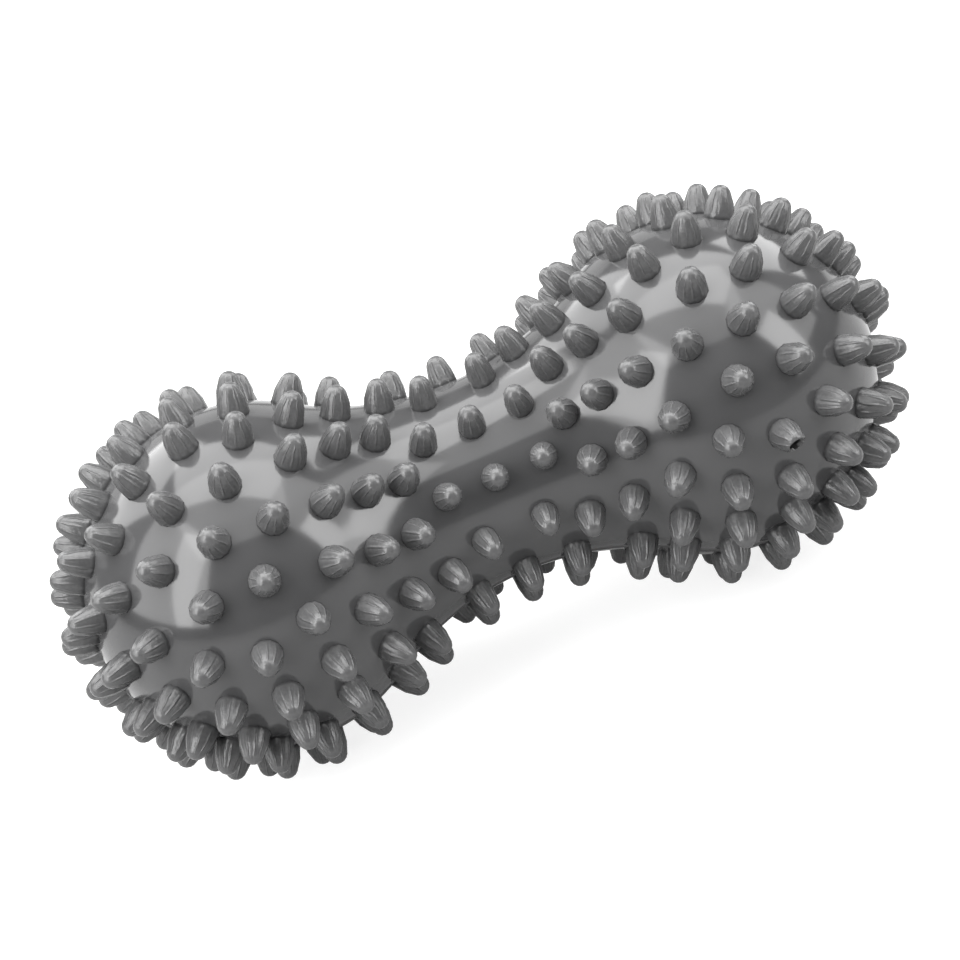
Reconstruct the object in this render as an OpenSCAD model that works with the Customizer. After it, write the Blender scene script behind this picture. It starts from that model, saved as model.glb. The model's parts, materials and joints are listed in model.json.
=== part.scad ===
// Peanut massage ball: two round lobes joined by a waist, covered with blunt spikes.
// One moulded piece. It lies on its side spikes, long axis along X, and +Z is up.
// The origin is under the waist, on the surface that the lowest spikes touch.

/* [Body] */
// Radius of each round lobe, spikes not counted
lobe_r = 30.8; // [29:0.2:32]
// Distance from the waist to the centre of each lobe
lobe_pos = 43.6; // [42:0.2:46]
// Radius of the waist at its narrowest
waist_r = 18.3; // [17:0.1:20]

/* [Spikes] */
// Height of a spike above the skin
spike_h = 5.6; // [4.8:0.1:6.5]
// Diameter of a spike on the lobes
spike_d = 5.8; // [5:0.1:6.4]
// Diameter of a spike at the waist
waist_spike_d = 5.1; // [4.6:0.1:5.6]
// Height above the skin at which a spike starts to narrow
belly_h = 1; // [0.5:0.1:1.5]
// Radius of a spike's rounded tip
tip_r = 1.6; // [1.3:0.1:1.8]

/* [Rows of spikes] */
// How far the crown spike stands past the lobe's centre, towards the end
crown_shift = 3.3; // [2.5:0.1:4]
// Distance from the parting line to the row of spikes beside it
row_gap = 4.3; // [4:0.1:4.8]

/* [Cut spike] */
// Height that is left of the one spike with its tip cut off
cut_h = 4; // [3:0.1:4.4]
// Diameter of the small hollow in its cut face
hollow_d = 1.6; // [1:0.1:2]
// Depth of that hollow
hollow_depth = 1.5; // [0.5:0.1:2]

/* [Parting line] */
// Height of the fine moulding line above the skin
seam_h = 0.15; // [0.1:0.05:0.3]
// Width of the fine moulding line
seam_w = 0.5; // [0.3:0.1:0.8]

/* [Hidden] */
$fn = 96;

soft_grey = [0.42, 0.43, 0.44];
sink = 0.6;
// A touch over the smooth fit, so that the tip's arc crosses the side arc cleanly
round_r = 1.1*tip_r;

// The waist is one hollow arc that runs smoothly into both lobes
waist_arc_r = (lobe_pos^2 + waist_r^2 - lobe_r^2)/(2*(lobe_r - waist_r));
waist_arc_pos = waist_r + waist_arc_r;
joint_x = lobe_pos*waist_arc_r/(lobe_r + waist_arc_r);

// Distance of the skin from the long axis, and how far the skin leans there
function skin_r(x) = abs(x) < joint_x
    ? waist_arc_pos - sqrt(waist_arc_r^2 - x^2)
    : sqrt(lobe_r^2 - (abs(x) - lobe_pos)^2);
function skin_lean(x) = abs(x) < joint_x
    ? -asin(x/waist_arc_r)
    : asin((x - lobe_pos)/lobe_r);

// Each mould half carries rings of spikes round a crown spike on either lobe.
// A ring is [count, centre along X, reach to the end, reach to the side, reach to the waist]
crown_x = lobe_pos + crown_shift;
RINGS = [
    [6,  crown_x,       10,   10,   10],
    [12, crown_x - 0.6, 18.7, 18.9, 18.1],
    [16, crown_x - 1,   24.6, 25,   24.7],
    [20, crown_x - 1.2, 27.2, 28.8, 31]
];
function along(ring, turn) = ring[1] + (cos(turn) > 0 ? ring[2] : ring[4])*cos(turn);

// A place is [x, angle from the middle of the mould half]
function ring_place(ring, turn) =
    let (x = along(ring, turn))
    [x, asin(ring[3]*sin(turn)/skin_r(x))];

// The row beside the parting line keeps its distance from it, round the lobe's outline
row_x = lobe_pos - 0.3;
row_reach = [30.8, 32];
function row_place(turn) =
    let (x = row_x + (cos(turn) > 0 ? row_reach[0] : row_reach[1])*cos(turn))
    [x, 90 - asin(row_gap/skin_r(x))];

LOBE_PLACES = concat(
    [[crown_x, 0]],
    [for (ring = RINGS, i = [0:ring[0] - 1]) ring_place(ring, i*360/ring[0])],
    [[lobe_pos + sqrt(lobe_r^2 - row_gap^2), 0]],
    [for (i = [1:9], side = [1, -1]) [row_place(15*i)[0], side*row_place(15*i)[1]]],
    [for (side = [1, -1]) [13, side*52.5]]
);
WAIST_PLACES = [[0, 15.5], [0, 79], [9, 15], [5.6, 45], [9.5, 79]];

// The pattern is turned so that the ball rests between two side spikes of each lobe
rest_a = ring_place(RINGS[1], 90);
rest_b = ring_place(RINGS[2], 90);
mould_turn = (rest_a[1] + rest_b[1])/2;
rest_spread = (rest_b[1] - rest_a[1])/2;
function tip_reach(x) = skin_r(x) + (spike_h - round_r)*cos(skin_lean(x));
axis_z = round_r + max(tip_reach(rest_a[0]), tip_reach(rest_b[0]))*cos(rest_spread);

module outline(grow) {
    for (end = [-1, 1])
        translate([end*lobe_pos, 0]) circle(lobe_r + grow);
    half_w = waist_arc_pos*(lobe_r + grow)/(lobe_r + waist_arc_r);
    difference() {
        square([2*lobe_pos*(waist_arc_r - grow)/(lobe_r + waist_arc_r), 2*half_w], center = true);
        for (side = [-1, 1])
            translate([0, side*waist_arc_pos]) circle(waist_arc_r - grow);
    }
}

module body() {
    far = lobe_pos + 2*lobe_r;
    rotate([0, 90, 0]) rotate_extrude() intersection() {
        rotate(90) outline(0);
        translate([0, -far]) square([far, 2*far]);
    }
}

module parting_line() {
    linear_extrude(seam_w, center = true) outline(seam_h);
}

// A blunt bullet: a straight foot, a long side arc above it, and a rounded tip
module spike(foot_d) {
    rise = spike_h - tip_r - belly_h;
    side_r = ((foot_d/2)^2 - tip_r^2 + rise^2)/(foot_d - 2*tip_r);
    touch_h = belly_h + rise*side_r/(side_r - tip_r);
    rotate_extrude() difference() {
        union() {
            translate([0, -sink]) square([foot_d/2, sink + belly_h]);
            intersection() {
                translate([foot_d/2 - side_r, belly_h]) rotate(180) circle(side_r);
                translate([0, belly_h]) square([foot_d, 2*spike_h]);
            }
        }
        difference() {
            translate([-1, touch_h]) square([foot_d, 2*spike_h]);
            translate([0, spike_h - round_r]) circle(round_r);
        }
    }
}

module cut_spike() {
    difference() {
        spike(spike_d);
        translate([0, 0, cut_h]) cylinder(spike_h, d = 2*spike_d);
        translate([0, 0, cut_h - hollow_depth]) cylinder(spike_h, d = hollow_d);
    }
}

module on_skin(x, turn) {
    rotate([turn, 0, 0]) translate([x, 0, skin_r(x)]) rotate([0, skin_lean(x), 0]) children();
}

module ball() color(soft_grey) translate([0, 0, axis_z]) rotate([mould_turn, 0, 0]) {
    body();
    parting_line();
    for (half = [0, 180]) rotate([half, 0, 0]) {
        for (end = [0, 180], p = LOBE_PLACES)
            rotate(end)
                if (half + end > 0 || p != rest_a) on_skin(p[0], p[1]) spike(spike_d);
        for (end = [0, 180], side = [-1, 1], p = WAIST_PLACES)
            if (p[0] > 0 || end == 0)
                rotate(end) on_skin(p[0], side*p[1]) spike(waist_spike_d);
    }
    on_skin(rest_a[0], rest_a[1]) cut_spike();
}

ball();
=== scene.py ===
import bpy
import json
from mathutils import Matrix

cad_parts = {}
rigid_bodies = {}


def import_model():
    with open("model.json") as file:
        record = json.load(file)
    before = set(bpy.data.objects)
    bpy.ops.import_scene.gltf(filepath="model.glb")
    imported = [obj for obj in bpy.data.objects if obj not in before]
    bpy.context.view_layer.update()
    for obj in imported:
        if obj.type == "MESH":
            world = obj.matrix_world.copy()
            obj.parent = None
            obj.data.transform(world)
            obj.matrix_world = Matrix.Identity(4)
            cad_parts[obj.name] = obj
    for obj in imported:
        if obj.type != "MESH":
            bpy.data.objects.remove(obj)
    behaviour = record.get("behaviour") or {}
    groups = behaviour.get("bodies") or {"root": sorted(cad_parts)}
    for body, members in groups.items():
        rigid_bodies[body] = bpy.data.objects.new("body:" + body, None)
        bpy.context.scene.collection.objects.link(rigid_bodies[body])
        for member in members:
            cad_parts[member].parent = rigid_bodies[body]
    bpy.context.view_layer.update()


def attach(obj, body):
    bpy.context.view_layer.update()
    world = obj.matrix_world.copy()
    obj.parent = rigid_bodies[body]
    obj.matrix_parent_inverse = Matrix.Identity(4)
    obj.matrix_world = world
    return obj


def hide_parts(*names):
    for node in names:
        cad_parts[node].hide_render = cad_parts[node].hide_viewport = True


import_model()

# %% [markdown]
# A ball this small is easiest to think about in millimetres. All shaping is done in them, and the finished
# mesh is scaled to metres once, at the end.
# %% Other modules and the unit
import json
from math import acos, asin, atan2, cos, degrees, pi, radians, sin, sqrt

import bmesh
import bpy
from mathutils import Matrix, Vector

MM = 0.001

# %% [markdown]
# The camera comes first, because everything else is judged through it. It looks down on the ball from the
# front and a little from the left, and it is rolled so that the ball climbs to the right across the
# picture. It could be placed by eye. Here its place and lens came from fitting the spikes, near and far, to
# where the photograph shows them, so that shapes can be compared point by point.
# %% Camera
LENS = 67.27
AIM = Vector((-0.9, 0.1, 35.9)) * MM
DISTANCE = 322.3 * MM
ELEVATION = radians(29.85)
YAW = radians(-5.81)
ROLL = radians(-20.08)

camera_data = bpy.data.cameras.new("photo_camera")
camera_data.lens = LENS
camera_data.clip_start = 0.01
camera_data.clip_end = 10
camera = bpy.data.objects.new("photo_camera", camera_data)
bpy.context.scene.collection.objects.link(camera)
bpy.context.scene.camera = camera
back = Vector((sin(YAW) * cos(ELEVATION), -cos(YAW) * cos(ELEVATION), sin(ELEVATION)))
camera.location = AIM + back * DISTANCE
looking = back.to_track_quat("Z", "Y").to_matrix() @ Matrix.Rotation(ROLL, 3, "Z")
camera.rotation_mode = "QUATERNION"
camera.rotation_quaternion = looking.to_quaternion()
print("camera at", [round(v, 3) for v in camera.location])

# %% [markdown]
# The body is round about its long axis, and its outline is three arcs: a lobe, the hollow waist and the
# other lobe. Two spheres blended by a smoothing modifier would come close, but their waist would be a
# matter of luck. The waist's arc is worked out instead, so that it runs into both lobes without a kink.
# %% Sizes of the body
LOBE_R = 30.8
LOBE_POS = 43.6
WAIST_R = 18.3

waist_arc = (LOBE_POS**2 + WAIST_R**2 - LOBE_R**2) / (2 * (LOBE_R - WAIST_R))
waist_centre = WAIST_R + waist_arc
joint_x = LOBE_POS * waist_arc / (LOBE_R + waist_arc)
print("waist arc", round(waist_arc, 2), "mm, joint at", round(joint_x, 2), "mm")


def skin_r(x):
    """Distance of the skin from the long axis."""
    if abs(x) < joint_x:
        return waist_centre - sqrt(waist_arc**2 - x**2)
    return sqrt(LOBE_R**2 - (abs(x) - LOBE_POS) ** 2)


def skin_lean(x):
    """How far the skin's outward direction leans towards +X."""
    if abs(x) < joint_x:
        return -asin(x / waist_arc)
    return asin((x - LOBE_POS) / LOBE_R)


# %% [markdown]
# A single vertex draws the outline. Spun round the lobe's centre it draws the lobe, its last copy spun
# round the waist's centre draws the waist, and so on to the far pole. One full spin about the long axis
# then gives the skin. This keeps the arcs true, which a traced curve wouldn't. The doubles at the two poles
# are merged, so that the skin is closed.
# %% Body
LOBE_STEPS = 44
WAIST_STEPS = 36
ROUND_STEPS = 120
MERGE = 0.001


def draw_arc(bm, start, centre, angle, steps):
    """Spins one vertex round a centre in the XZ plane and gives back the last vertex."""
    result = bmesh.ops.spin(bm, geom=[start], cent=centre, axis=(0, 1, 0), angle=angle, steps=steps)
    return [v for v in result["geom_last"] if isinstance(v, bmesh.types.BMVert)][0]


def spin_round(bm, axis, steps):
    """Spins the outline drawn so far once round an axis and merges the doubles on that axis."""
    geom = bm.verts[:] + bm.edges[:]
    bmesh.ops.spin(bm, geom=geom, cent=(0, 0, 0), axis=axis, angle=2 * pi, steps=steps, use_merge=True)
    bmesh.ops.remove_doubles(bm, verts=bm.verts[:], dist=MERGE)


def spin_body():
    bm = bmesh.new()
    lobe_turn = acos((joint_x - LOBE_POS) / LOBE_R)
    waist_turn = 2 * asin(joint_x / waist_arc)
    pole = bm.verts.new((LOBE_POS + LOBE_R, 0, 0))
    last = draw_arc(bm, pole, (LOBE_POS, 0, 0), -lobe_turn, LOBE_STEPS)
    last = draw_arc(bm, last, (0, 0, waist_centre), waist_turn, WAIST_STEPS)
    draw_arc(bm, last, (-LOBE_POS, 0, 0), -lobe_turn, LOBE_STEPS)
    spin_round(bm, (1, 0, 0), ROUND_STEPS)
    return bm


body = spin_body()
print("body:", len(body.faces), "faces")

# %% [markdown]
# Where the halves of the mould met, the real ball has a fine raised line along its length. It could be a
# thin ring laid over the body, but a ring would stand off the skin with an edge of its own. So the line is
# part of the skin: three cuts give it edges to stand on, and the middle one is lifted by a fifth of a
# millimetre, straight away from the skin.
# %% Parting line
SEAM_H = 0.22
SEAM_W = 0.5
CUT_REACH = 0.0001
ON_PLANE = 0.0005


def raise_parting_line(bm):
    for level in (-SEAM_W / 2, 0, SEAM_W / 2):
        everything = bm.verts[:] + bm.edges[:] + bm.faces[:]
        bmesh.ops.bisect_plane(
            bm, geom=everything, dist=CUT_REACH, plane_co=(0, 0, level), plane_no=(0, 0, 1)
        )
    crest = [v for v in bm.verts if abs(v.co.z) < ON_PLANE]
    for v in crest:
        lobe = Vector((LOBE_POS if v.co.x > 0 else -LOBE_POS, 0, 0))
        hollow = Vector((v.co.x, 0, 0)) if abs(v.co.x) < joint_x else lobe
        v.co += (v.co - hollow).normalized() * SEAM_H
    return len(crest)


print("points on the parting line:", raise_parting_line(body))

# %% [markdown]
# A spike is a blunt bullet, 5.6 millimetres high. The spikes of the waist are a little slimmer than those
# of the lobes. The shape is used hundreds of times, so its arcs have only as many steps as the camera can
# tell apart, and its foot runs out in a small flare that is sunk below the skin.
# %% Sizes of a spike
SPIKE_H = 5.6
LOBE_SPIKE_D = 5.5
WAIST_SPIKE_D = 4.9
TIP_R = 1.9
FOOT_H = 0.25
FLARE = 0.12
ROOT = 0.45
COLUMNS = 12
SIDE_STEPS = 2
TIP_STEPS = 3

print("spikes are", SPIKE_H, "mm high,", LOBE_SPIKE_D, "and", WAIST_SPIKE_D, "mm wide")

# %% [markdown]
# One spike on the front has lost its tip. It ends in a slant, with a dark hollow inside a thin rim. It
# could be sculpted by itself, but below the cut it has to match its neighbours, so it starts as the same
# spike. A plane slices the tip off, insets shape the rim, and the last face is sunk down the spike's axis,
# which keeps the hollow dark from the camera's side.
# %% Cut end
CUT_H = 4.7
CUT_NORMAL = (0.1, -0.85, 1)
HOLLOW_DEPTH = 2.2
# Each step of the rim is how far it goes in and how far it goes up
RIM_STEPS = ((0.1, 0.08), (0.25, -0.08), (0.1, -0.1))


def cut_open(bm):
    """Cuts the tip off, sinks the hollow and gives back the faces of the hollow."""
    everything = bm.verts[:] + bm.edges[:] + bm.faces[:]
    bmesh.ops.bisect_plane(
        bm, geom=everything, plane_co=(0, 0, CUT_H), plane_no=CUT_NORMAL, clear_outer=True
    )
    rim = [e for e in bm.edges if e.is_boundary and e.verts[0].co.z > FOOT_H]
    bottom = bmesh.ops.contextual_create(bm, geom=rim)["faces"]
    bm.normal_update()
    if bottom[0].normal.z < 0:
        bmesh.ops.reverse_faces(bm, faces=bottom)
    for inwards, upwards in RIM_STEPS:
        walls = bmesh.ops.inset_region(bm, faces=bottom, thickness=inwards, depth=upwards)["faces"]
    bmesh.ops.translate(bm, verts=bottom[0].verts[:], vec=(0, 0, -HOLLOW_DEPTH))
    print("bottom of the hollow at", round(bottom[0].calc_center_median().z, 2), "mm")
    return bottom + walls


# %% [markdown]
# The ridges on a spike run from its foot to its tip, so their pattern has to follow the spike and not the
# room. A projection from one side would smear them. Instead each corner of a face gets two numbers, its
# turn round the spike and its share of the height, kept as a UV map that the plastic reads later. A height
# below zero stands for plain skin, without ridges.
# %% Map for the ridges
ON_AXIS = 0.01
PLAIN = -1


def lay_ridge_map(bm, hollow):
    wrap = bm.loops.layers.uv.new("flutes")
    for face in bm.faces:
        middle = face.calc_center_median()
        facing = atan2(middle.y, middle.x)
        for loop in face.loops:
            co = loop.vert.co
            off = (atan2(co.y, co.x) - facing + pi) % (2 * pi) - pi if co.xy.length > ON_AXIS else 0
            up = PLAIN if face in hollow else co.z / SPIKE_H
            loop[wrap].uv = ((facing + off) / (2 * pi), up)


# %% [markdown]
# The spike is spun like the body, from one vertex: the flare, the long side arc, then the tip's arc. A
# stretched sphere would be quicker, but its sides would bulge where the real ones run nearly straight. The
# open foot is closed with a face, so that each spike is a solid shape of its own.
# %% Spikes
def spike_mesh(across, cut=False):
    rise = SPIKE_H - TIP_R - FOOT_H
    side_r = ((across / 2) ** 2 - TIP_R**2 + rise**2) / (across - 2 * TIP_R)
    side_turn = asin(rise / (side_r - TIP_R))
    bm = bmesh.new()
    flare = bm.verts.new((across / 2 + FLARE, 0, -ROOT))
    foot = bmesh.ops.extrude_vert_indiv(bm, verts=[flare])["verts"][0]
    foot.co = (across / 2, 0, FOOT_H)
    last = draw_arc(bm, foot, (across / 2 - side_r, 0, FOOT_H), -side_turn, SIDE_STEPS)
    draw_arc(bm, last, (0, 0, SPIKE_H - TIP_R), side_turn - pi / 2, TIP_STEPS)
    spin_round(bm, (0, 0, 1), COLUMNS)
    hollow = cut_open(bm) if cut else []
    bmesh.ops.holes_fill(bm, edges=[e for e in bm.edges if e.is_boundary])
    bmesh.ops.recalc_face_normals(bm, faces=bm.faces[:])
    lay_ridge_map(bm, hollow)
    mesh = bpy.data.meshes.new("spike")
    bm.to_mesh(mesh)
    print("spike", across, "mm across:", len(bm.faces), "faces")
    bm.free()
    return mesh


lobe_spike = spike_mesh(LOBE_SPIKE_D)
waist_spike = spike_mesh(WAIST_SPIKE_D)
cut_spike = spike_mesh(LOBE_SPIKE_D, cut=True)

# %% [markdown]
# The spikes look scattered, but they follow one pattern on each lobe of each mould half: a crown spike,
# four rings round it, a row that keeps its distance from the parting line, and a few on the waist. Placing
# 336 spikes by hand would hide that. A place is a distance along the ball and an angle about it, and most
# rings reach a different distance towards the end, the side and the waist.
# %% Rings and row
CROWN_X = LOBE_POS + 3.3
# Each ring has its count, its centre along the ball, and its reach to the end, the side and the waist
RINGS = [
    (6, CROWN_X, 10, 10, 10),
    (12, CROWN_X - 0.6, 18.7, 18.9, 18.1),
    (16, CROWN_X - 1, 24.6, 25, 24.7),
    (20, CROWN_X - 1.2, 27.2, 28.8, 31),
]
ROW_GAP = 4.3
ROW_X = LOBE_POS - 0.3
ROW_TO_END = 30.8
ROW_TO_WAIST = 32
ROW_STEP = radians(15)
ROW_COUNT = 9

print("spikes in the rings of a lobe:", sum(ring[0] for ring in RINGS))


def ring_place(ring, turn):
    centre, to_end, to_side, to_waist = ring[1:]
    x = centre + (to_end if cos(turn) > 0 else to_waist) * cos(turn)
    return x, asin(to_side * sin(turn) / skin_r(x))


def row_place(turn):
    x = ROW_X + (ROW_TO_END if cos(turn) > 0 else ROW_TO_WAIST) * cos(turn)
    return x, pi / 2 - asin(ROW_GAP / skin_r(x))


def on_both_sides(x, angle):
    return [(x, angle), (x, -angle)]


# %% [markdown]
# Where a lobe runs into the waist, and on the waist itself, the rings give way to a few spikes that stand
# by themselves. No ring gives their places, so each is listed, as it was fitted to the photograph.
# %% Places of the spikes
NECK_PLACE = (13, 52.5)
WAIST_PLACES = ((9, 15), (5.6, 45), (9.5, 79))
MIDDLE_PLACES = ((0, 15.5), (0, 79))

lobe_places = [(CROWN_X, 0), (LOBE_POS + sqrt(LOBE_R**2 - ROW_GAP**2), 0)]
for ring in RINGS:
    lobe_places += [ring_place(ring, 2 * pi * i / ring[0]) for i in range(ring[0])]
for i in range(1, ROW_COUNT + 1):
    lobe_places += on_both_sides(*row_place(ROW_STEP * i))
lobe_places += on_both_sides(NECK_PLACE[0], radians(NECK_PLACE[1]))
waist_places = []
for x, angle in WAIST_PLACES:
    waist_places += on_both_sides(x, radians(angle))
middle_places = []
for x, angle in MIDDLE_PLACES:
    middle_places += on_both_sides(x, radians(angle))
print("places on a lobe:", len(lobe_places), "on the waist:", 2 * len(waist_places) + len(middle_places))

# %% [markdown]
# The ball rests on side spikes of its second and third rings, so the pattern is turned about the long axis
# until those two point down by the same angle. The height of the axis is that of the CAD solids, whose
# spikes have slightly sharper tips than these. A physics simulation could drop the ball into place, but the
# solids are already at rest, and the two have to agree.
# %% Turn of the pattern and height of the axis
SOLID_TIP_R = 1.76

rest_a = ring_place(RINGS[1], pi / 2)
rest_b = ring_place(RINGS[2], pi / 2)
mould_turn = (rest_a[1] + rest_b[1]) / 2
spread = (rest_b[1] - rest_a[1]) / 2


def tip_reach(x):
    return skin_r(x) + (SPIKE_H - SOLID_TIP_R) * cos(skin_lean(x))


axis_up = SOLID_TIP_R + max(tip_reach(rest_a[0]), tip_reach(rest_b[0])) * cos(spread)
print("pattern turned by", round(degrees(mould_turn), 2), "degrees; axis at", round(axis_up, 2), "mm")

# %% [markdown]
# Each spike is stamped into the body's mesh with its own transform: out to the skin, leaned with it, turned
# about the long axis, and then carried by half turns to the other lobe and the other mould half. The cut
# spike takes one place of the second ring. A boolean union would weld the spikes on, but 336 of them are
# slow and leave thin faces, so each spike keeps its own closed shell with its foot below the skin.
# %% Stamping the spikes
body_map = body.loops.layers.uv.new("flutes")
for face in body.faces:
    for loop in face.loops:
        loop[body_map].uv = (0, PLAIN)


def stamp(mesh, half, end, place):
    x, angle = place
    out = Matrix.Translation((x, 0, skin_r(x))) @ Matrix.Rotation(skin_lean(x), 4, "Y")
    about = Matrix.Rotation(half, 4, "X") @ Matrix.Rotation(end, 4, "Z") @ Matrix.Rotation(angle, 4, "X")
    copy = mesh.copy()
    copy.transform(about @ out)
    body.from_mesh(copy)
    bpy.data.meshes.remove(copy)


for half in (0, pi):
    for end in (0, pi):
        for place in lobe_places:
            is_cut = half + end == 0 and place == rest_a
            stamp(cut_spike if is_cut else lobe_spike, half, end, place)
        for place in waist_places + (middle_places if end == 0 else []):
            stamp(waist_spike, half, end, place)
print("vertices after stamping:", len(body.verts))

# %% [markdown]
# The finished mesh is turned, lifted and scaled inside the mesh itself, so that its object sits at the
# origin, unturned and unscaled, as the solids do. It takes the place of the solid ball.
# %% The dressed ball
standing = Matrix.Translation((0, 0, axis_up)) @ Matrix.Rotation(mould_turn, 4, "X")
bmesh.ops.transform(body, matrix=Matrix.Scale(MM, 4) @ standing, verts=body.verts[:])
body.normal_update()
skin_mesh = bpy.data.meshes.new("ball_skin")
body.to_mesh(skin_mesh)
body.free()
skin_mesh.shade_smooth()
skin = bpy.data.objects.new("ball_skin", skin_mesh)
bpy.context.scene.collection.objects.link(skin)
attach(skin, "root")
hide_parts("ball")
print("skin:", len(skin_mesh.polygons), "faces")

# %% [markdown]
# The finishes are written as sums. Linking nodes by hand takes many lines and is hard to read back, so a
# small class wraps a socket. Plus, minus and times on it add Math nodes, and one method makes every other
# kind of node from its type, its settings and its inputs.
# %% Shader maths
class Wire:
    def __init__(self, tree, socket):
        self.tree = tree
        self.socket = socket

    def node(self, kind, settings=None, inputs=None, out=0):
        made = self.tree.nodes.new(kind)
        for name, value in (settings or {}).items():
            setattr(made, name, value)
        for name, value in (inputs or {}).items():
            if isinstance(value, Wire):
                self.tree.links.new(value.socket, made.inputs[name])
            else:
                made.inputs[name].default_value = value
        return Wire(self.tree, made.outputs[out])

    def twin(self, out):
        """Another output of the same node."""
        return Wire(self.tree, self.socket.node.outputs[out])

    def feed(self, socket):
        self.tree.links.new(self.socket, socket)

    def maths(self, operation, first, second=0):
        return self.node("ShaderNodeMath", {"operation": operation}, {0: first, 1: second})

    def __add__(self, other):
        return self.maths("ADD", self, other)

    def __radd__(self, other):
        return self.maths("ADD", other, self)

    def __sub__(self, other):
        return self.maths("SUBTRACT", self, other)

    def __rsub__(self, other):
        return self.maths("SUBTRACT", other, self)

    def __mul__(self, other):
        return self.maths("MULTIPLY", self, other)

    def __rmul__(self, other):
        return self.maths("MULTIPLY", other, self)


def new_material(name):
    material = bpy.data.materials.new(name)
    material.use_nodes = True
    return material, material.node_tree.nodes["Principled BSDF"], Wire(material.node_tree, None)


# %% [markdown]
# Ten thin ridges run up each spike. Modelled, they would take hundreds of faces on every spike, so they are
# drawn by a high power of a cosine round it. That gives narrow crests with flat land between them. They
# fade in above the foot, and out before the tip, which is smooth.
# %% Ridges
RIDGES = 10
RIDGE_POWER = 12
FOOT_FADE = (0, 0.1)
RIDGE_START = (0, 0.4)
RIDGE_END = (0.94, 0.72)

plastic, shader, sheet = new_material("soft_grey_plastic")
ridge_map = sheet.node("ShaderNodeUVMap", {"uv_map": "flutes"})
turn = sheet.node("ShaderNodeSeparateXYZ", inputs={"Vector": ridge_map})
height = turn.twin("Y")


def fade(wire, start, end):
    """Goes smoothly from 0 at the start to 1 at the end."""
    settings = {"interpolation_type": "SMOOTHSTEP"}
    return sheet.node("ShaderNodeMapRange", settings, {"Value": wire, "From Min": start, "From Max": end})


on_spike = fade(height, *FOOT_FADE)
wave = sheet.maths("ABSOLUTE", sheet.maths("COSINE", turn * (pi * RIDGES)))
ridges = sheet.maths("POWER", wave, RIDGE_POWER) * fade(height, *RIDGE_START) * fade(height, *RIDGE_END)
print("ridges on a spike:", RIDGES)

# %% [markdown]
# The plastic itself is soft, grey and glossy straight from the mould, with small cloudy differences of
# shade and a faint ripple. The spikes are paler, grainier and less glossy than the skin between them, and
# the crests of their ridges are painted palest, a painted highlight for the light that the thin crests
# catch.
# A painted picture could show the same, but noise in the room of the object has no seams and stays sharp
# close up.
# %% Soft grey plastic
CLOUD_SCALE = 60
GRAIN_SCALE = 1800
RIPPLE_SCALE = 110
CLOUD_PALE = 0.4
# How much paler the ridge crests are painted: a painted highlight for the light the thin crests catch
RIDGE_PAINTED_HIGHLIGHT = 0.8
SPIKE_PALE = 0.45
GRAIN_PALE = 0.9
DEEP_GREY = (0.046, 0.046, 0.047, 1)
PALE_GREY = (0.084, 0.084, 0.085, 1)
RIDGE_H = 0.17 * MM
GRAIN_H = 0.05 * MM
RIPPLE_H = 0.04 * MM
SKIN_ROUGH = 0.10
CLOUD_ROUGH = 0.05
SPIKE_ROUGH = 0.14
PLASTIC_IOR = 1.5
NOISE_MIDDLE = 0.5
# Numbers of the colour sockets on a Mix node
FIRST_COLOUR = 6
SECOND_COLOUR = 7
MIXED_COLOUR = 2

where = sheet.node("ShaderNodeTexCoord", out="Object")


def noise(scale, detail):
    inputs = {"Vector": where, "Scale": scale, "Detail": detail}
    return sheet.node("ShaderNodeTexNoise", inputs=inputs)


cloud = noise(CLOUD_SCALE, detail=3)
grain = noise(GRAIN_SCALE, detail=2)
ripple = noise(RIPPLE_SCALE, detail=1)
grainy = (grain - NOISE_MIDDLE) * on_spike
# The ridge term paints a highlight on the crests; the cloud, spike and grain terms are the plastic's own
# tone
tone_and_ridge_highlight = cloud * CLOUD_PALE + ridges * RIDGE_PAINTED_HIGHLIGHT + on_spike * SPIKE_PALE + grainy * GRAIN_PALE
tint = sheet.node(
    "ShaderNodeMix",
    {"data_type": "RGBA", "clamp_factor": False},
    {"Factor": tone_and_ridge_highlight, FIRST_COLOUR: DEEP_GREY, SECOND_COLOUR: PALE_GREY},
    out=MIXED_COLOUR,
)
relief = ridges * RIDGE_H + grain * on_spike * GRAIN_H + ripple * RIPPLE_H
bumps = sheet.node("ShaderNodeBump", inputs={"Height": relief, "Distance": 1, "Strength": 1})
tint.feed(shader.inputs["Base Color"])
(SKIN_ROUGH + cloud * CLOUD_ROUGH + on_spike * SPIKE_ROUGH).feed(shader.inputs["Roughness"])
bumps.feed(shader.inputs["Normal"])
shader.inputs["IOR"].default_value = PLASTIC_IOR
skin_mesh.materials.append(plastic)
print("plastic made of", len(plastic.node_tree.nodes), "nodes")

# %% [markdown]
# The ball stands on plain white. A curved sheet that sweeps up behind it is the usual way in a studio, but
# this camera looks down steeply, so one flat square fills the whole picture.
# %% Floor
FLOOR_HALF = 1.5

floor_bm = bmesh.new()
bmesh.ops.create_grid(floor_bm, x_segments=1, y_segments=1, size=FLOOR_HALF)
floor_mesh = bpy.data.meshes.new("floor")
floor_bm.to_mesh(floor_mesh)
floor_bm.free()
floor = bpy.data.objects.new("floor", floor_mesh)
bpy.context.scene.collection.objects.link(floor)
print("floor is", 2 * FLOOR_HALF, "metres wide")

# %% [markdown]
# A truly white floor would throw so much light back up that the ball's underside turned pale. So this one
# is grey for the light that falls on it, and adds a glow of its own that the camera sees in full and
# reflections see dimly. The grey part still takes the ball's soft shadow.
# %% White of the floor
FLOOR_GREY = (0.33, 0.33, 0.33, 1)
FLOOR_ROUGH = 0.9
WHITE = (1, 1, 1, 1)
GLOW = 0.8
DIM_GLOW = 0.15

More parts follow.
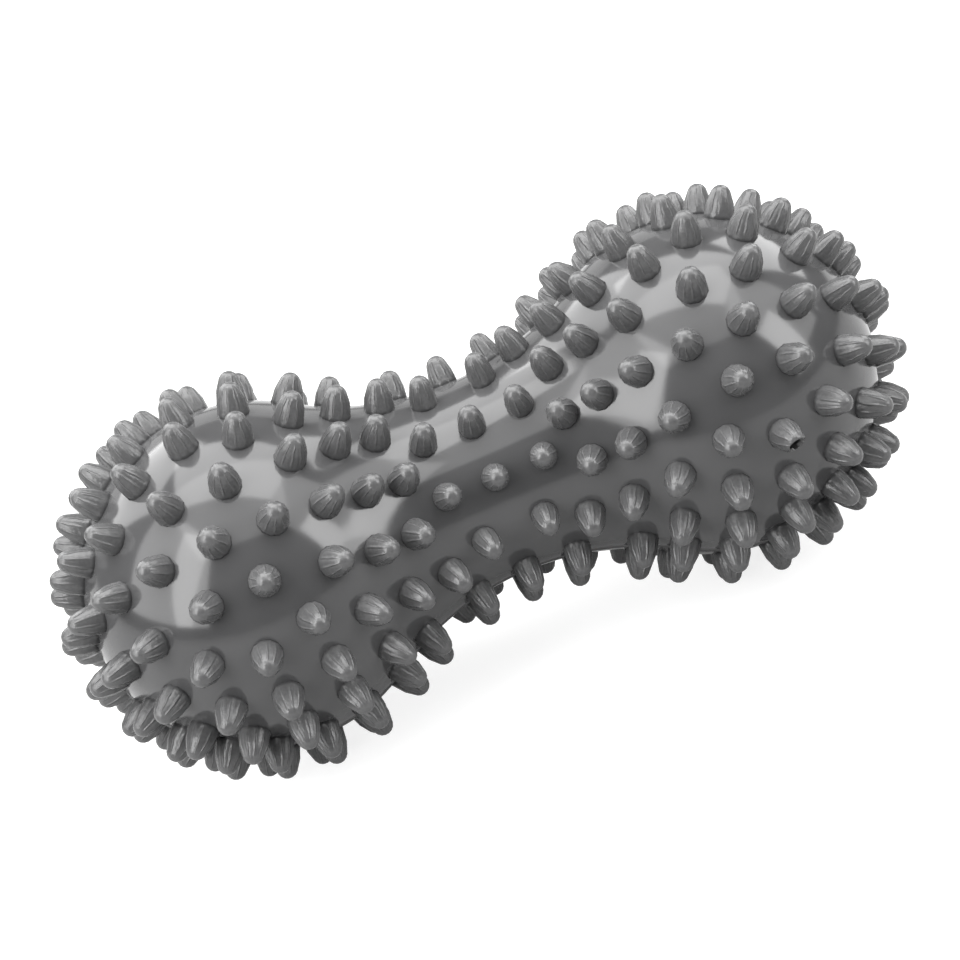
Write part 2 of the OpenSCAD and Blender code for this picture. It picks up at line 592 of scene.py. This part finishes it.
white, floor_shader, ground = new_material("white_floor")
floor_shader.inputs["Base Color"].default_value = FLOOR_GREY
floor_shader.inputs["Roughness"].default_value = FLOOR_ROUGH
floor_shader.inputs["Emission Color"].default_value = WHITE
to_camera = ground.node("ShaderNodeLightPath", out="Is Camera Ray")
in_gloss = to_camera.twin("Is Glossy Ray")
through = to_camera.twin("Is Transmission Ray")
glow = to_camera * GLOW + in_gloss * DIM_GLOW + through * DIM_GLOW
glow.feed(floor_shader.inputs["Emission Strength"])
floor_mesh.materials.append(white)
print("floor glows by", GLOW, "to the camera and", DIM_GLOW, "in reflections")

# %% [markdown]
# From lower down the camera would see past the floor's edge, so the world is white to it too. To everything
# else the world gives only a low, even light. A brighter one would be simpler than lamps, but it would
# flatten the ball, which shows its roundness by what it mirrors.
# %% World
WORLD_LIGHT = 0.18

world = bpy.data.worlds.new("studio")
bpy.context.scene.world = world
world.use_nodes = True
air = Wire(world.node_tree, None)
sky = world.node_tree.nodes["Background"]
sky.inputs["Color"].default_value = WHITE
seen = air.node("ShaderNodeLightPath", out="Is Camera Ray")
(seen * (1 - WORLD_LIGHT) + WORLD_LIGHT).feed(sky.inputs["Strength"])
print("world gives", WORLD_LIGHT, "to all but the camera")

# %% [markdown]
# Glossy plastic shows what it mirrors, so the lamps are what paints the pale patches with crisp edges on
# the lobes and along the waist. Small lamps would leave points of light, so these are wide soft boxes.
# Each is hung by its direction as seen from the ball, and its brightness is given per area, because that is
# what a mirror image shows. Two hang overhead, a window with a brighter edge stands on either side, and
# three stand behind. Nothing stands behind the viewer, so the front stays dark.
# %% Lamps
BALL_MIDDLE = Vector((0, 0, 36)) * MM


def soft_box(name, azimuth, elevation, size, radiance, reach=0.9):
    """Hangs a lamp by angles in degrees, azimuth 0 being towards the viewer."""
    turned, raised = radians(azimuth), radians(elevation)
    away = Vector((sin(turned) * cos(raised), -cos(turned) * cos(raised), sin(raised)))
    lamp = bpy.data.lights.new(name, "AREA")
    lamp.shape = "RECTANGLE"
    lamp.size, lamp.size_y = size
    lamp.energy = radiance * pi * size[0] * size[1]
    box = bpy.data.objects.new(name, lamp)
    bpy.context.scene.collection.objects.link(box)
    box.location = BALL_MIDDLE + away * reach
    box.rotation_mode = "QUATERNION"
    box.rotation_quaternion = (-away).to_track_quat("-Z", "Y")
    print(name, "power", round(lamp.energy, 2), "watts")


# Azimuth and elevation, then width and height in metres, then brightness
soft_box("overhead", 160, 74, (1.0, 0.75), 5.25)
soft_box("wide_top", 0, 80, (1.5, 1.25), 2.2, reach=1.2)
soft_box("left_window", -72, 34, (0.95, 1.15), 3.7, reach=1.1)
soft_box("left_edge", -52, 31, (0.17, 0.42), 4.5, reach=0.45)
soft_box("right_window", 68, 37, (0.75, 1.0), 2.8, reach=1.1)
soft_box("right_edge", 57, 22, (0.28, 0.55), 5.2)
soft_box("behind_right", 122, 28, (0.45, 0.45), 5)
soft_box("behind_left", -145, 35, (0.7, 0.55), 4.4)
soft_box("behind_low", 180, 13, (1.8, 0.45), 0.8, reach=1.15)

# %% [markdown]
# A view transform that bends tones would change the greys written above, so the plain one is used.
# %% View settings
view = bpy.context.scene.view_settings
view.view_transform = "Standard"
print("view transform:", view.view_transform)
